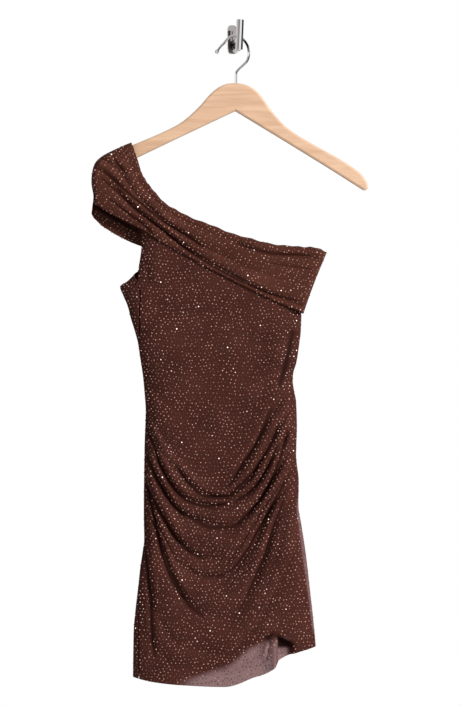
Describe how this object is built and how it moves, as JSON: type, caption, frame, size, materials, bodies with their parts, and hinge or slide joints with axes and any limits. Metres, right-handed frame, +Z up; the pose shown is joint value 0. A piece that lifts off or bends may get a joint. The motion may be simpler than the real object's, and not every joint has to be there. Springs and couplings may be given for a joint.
{
  "type": "one-shoulder dress on a hanger",
  "caption": "One-shoulder mini dress of draped, studded mesh with a pleated shoulder band, on a wooden hanger hung from a chrome wall hook.",
  "frame": {"origin": "centre of the wall plate's back face, which meets the wall", "axes": "+Z up, +Y into the wall, +X towards the viewer's right as the dress hangs"},
  "size_m": [0.4369, 0.0583, 1.0497],
  "materials": {
    "studded_mesh": "fine stretch mesh dotted with small metallic studs",
    "pleated_mesh": "doubled stretch mesh in soft pleats, dotted with small metallic studs",
    "lining_jersey": "plain matt jersey",
    "pale_wood": "satin varnished pale hardwood",
    "chrome": "polished chrome"
  },
  "bodies": {
    "root": {"front_panel": "studded_mesh", "back_panel": "studded_mesh", "shoulder_band_front": "pleated_mesh", "shoulder_band_back": "pleated_mesh", "lining_front": "lining_jersey", "lining_back": "lining_jersey", "hanger_wood": "pale_wood", "hanger_hook": "chrome", "wall_plate": "chrome", "wall_hook": "chrome"}
  },
  "joints": []
}
